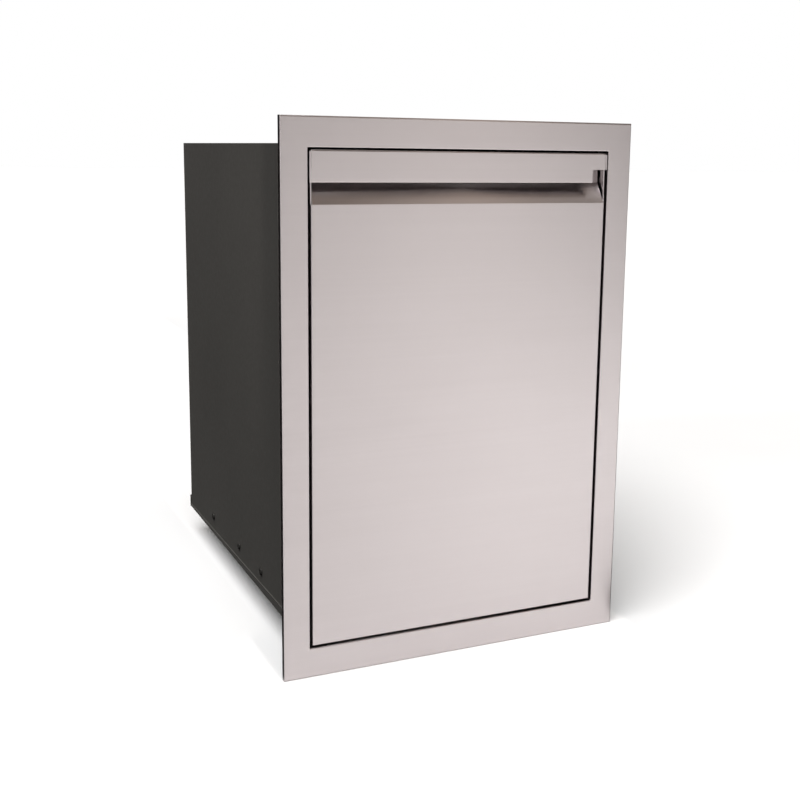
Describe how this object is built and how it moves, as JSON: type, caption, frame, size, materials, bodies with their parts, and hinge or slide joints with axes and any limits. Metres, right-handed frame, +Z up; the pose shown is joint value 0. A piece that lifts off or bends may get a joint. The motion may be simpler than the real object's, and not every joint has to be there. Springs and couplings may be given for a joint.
{
  "type": "pull-out trash drawer",
  "caption": "Built-in pull-out trash drawer: a flanged stainless frame around a flush drawer front with a recessed pull, sheet-metal box, ball-bearing slides and a waste bin.",
  "frame": {"origin": "middle of the footprint, at the height of the face frame's lower edge", "axes": "+Z up; +X to the right seen from the front; the face frame and drawer front face -Y and the box runs back along +Y"},
  "size_m": [0.432, 0.559, 0.622],
  "materials": {
    "brushed_stainless": "satin, fine horizontal brushing",
    "inner_stainless": "mill",
    "coated_sheet": "satin dark grey",
    "zinc_steel": "bright zinc",
    "dark_screw": "black oxide",
    "rubber": "matte",
    "lever_plastic": "moulded",
    "bin_plastic": "moulded"
  },
  "bodies": {
    "cabinet": {"face_frame": "brushed_stainless", "top_panel": "coated_sheet", "rear_panel": "coated_sheet", "bottom_pan": "coated_sheet", "side_panel_left": "coated_sheet", "slide_rail_left": "zinc_steel", "slide_outer_left": "zinc_steel", "slide_bumper_left": "rubber", "stop_bracket_left": "zinc_steel", "stop_bumper_left": "rubber", "slide_screw_left_1": "dark_screw", "slide_screw_left_2": "dark_screw", "slide_screw_left_3": "dark_screw", "side_panel_right": "coated_sheet", "slide_rail_right": "zinc_steel", "slide_outer_right": "zinc_steel", "slide_bumper_right": "rubber", "stop_bracket_right": "zinc_steel", "stop_bumper_right": "rubber", "slide_screw_right_1": "dark_screw", "slide_screw_right_2": "dark_screw", "slide_screw_right_3": "dark_screw"},
    "drawer": {"drawer_front": "brushed_stainless", "front_liner": "inner_stainless", "bin_tray": "inner_stainless", "slide_inner_left": "zinc_steel", "front_bracket_left": "inner_stainless", "lever_pivot_left": "zinc_steel", "bracket_screw_left_1": "zinc_steel", "bracket_screw_left_2": "zinc_steel", "tray_screw_left_1": "zinc_steel", "tray_screw_left_2": "zinc_steel", "slide_inner_right": "zinc_steel", "front_bracket_right": "inner_stainless", "lever_pivot_right": "zinc_steel", "bracket_screw_right_1": "zinc_steel", "bracket_screw_right_2": "zinc_steel", "tray_screw_right_1": "zinc_steel", "tray_screw_right_2": "zinc_steel"},
    "bin": {"waste_bin": "bin_plastic"},
    "middle_member_left": {"slide_middle_left": "zinc_steel"},
    "outer_balls_left": {"outer_retainer_left": "zinc_steel"},
    "inner_balls_left": {"inner_retainer_left": "zinc_steel"},
    "lever_left": {"release_lever_left": "lever_plastic"},
    "middle_member_right": {"slide_middle_right": "zinc_steel"},
    "outer_balls_right": {"outer_retainer_right": "zinc_steel"},
    "inner_balls_right": {"inner_retainer_right": "zinc_steel"},
    "lever_right": {"release_lever_right": "lever_plastic"}
  },
  "joints": [
    {"name": "drawer_slide", "type": "slide", "parent": "cabinet", "child": "drawer", "axis": [0, -1, 0], "range_m": [0, 0.5]},
    {"name": "bin_lift", "type": "slide", "parent": "drawer", "child": "bin", "axis": [0, 0, 1], "range_m": [0, 0.05]},
    {"name": "middle_slide_left", "type": "slide", "parent": "cabinet", "child": "middle_member_left", "axis": [0, -1, 0], "range_m": [0, 0.25]},
    {"name": "outer_ball_slide_left", "type": "slide", "parent": "cabinet", "child": "outer_balls_left", "axis": [0, -1, 0], "range_m": [0, 0.125]},
    {"name": "inner_ball_slide_left", "type": "slide", "parent": "cabinet", "child": "inner_balls_left", "axis": [0, -1, 0], "range_m": [0, 0.375]},
    {"name": "middle_slide_right", "type": "slide", "parent": "cabinet", "child": "middle_member_right", "axis": [0, -1, 0], "range_m": [0, 0.25]},
    {"name": "outer_ball_slide_right", "type": "slide", "parent": "cabinet", "child": "outer_balls_right", "axis": [0, -1, 0], "range_m": [0, 0.125]},
    {"name": "inner_ball_slide_right", "type": "slide", "parent": "cabinet", "child": "inner_balls_right", "axis": [0, -1, 0], "range_m": [0, 0.375]},
    {"name": "lever_hinge_left", "type": "hinge", "parent": "drawer", "child": "lever_left", "pos_m": [-0.174, -0.0175, 0.064], "axis": [-1, 0, 0], "range_deg": [0, 5], "stiffness_Nm_per_rad": 0.03, "springref_deg": -2.86},
    {"name": "lever_hinge_right", "type": "hinge", "parent": "drawer", "child": "lever_right", "pos_m": [0.174, -0.0175, 0.064], "axis": [-1, 0, 0], "range_deg": [0, 5], "stiffness_Nm_per_rad": 0.03, "springref_deg": -2.86}
  ],
  "couplings": [
    {"joint": "middle_slide_left", "follows": "drawer_slide", "ratio": 0.5},
    {"joint": "outer_ball_slide_left", "follows": "drawer_slide", "ratio": 0.25},
    {"joint": "inner_ball_slide_left", "follows": "drawer_slide", "ratio": 0.75},
    {"joint": "middle_slide_right", "follows": "drawer_slide", "ratio": 0.5},
    {"joint": "outer_ball_slide_right", "follows": "drawer_slide", "ratio": 0.25},
    {"joint": "inner_ball_slide_right", "follows": "drawer_slide", "ratio": 0.75}
  ]
}
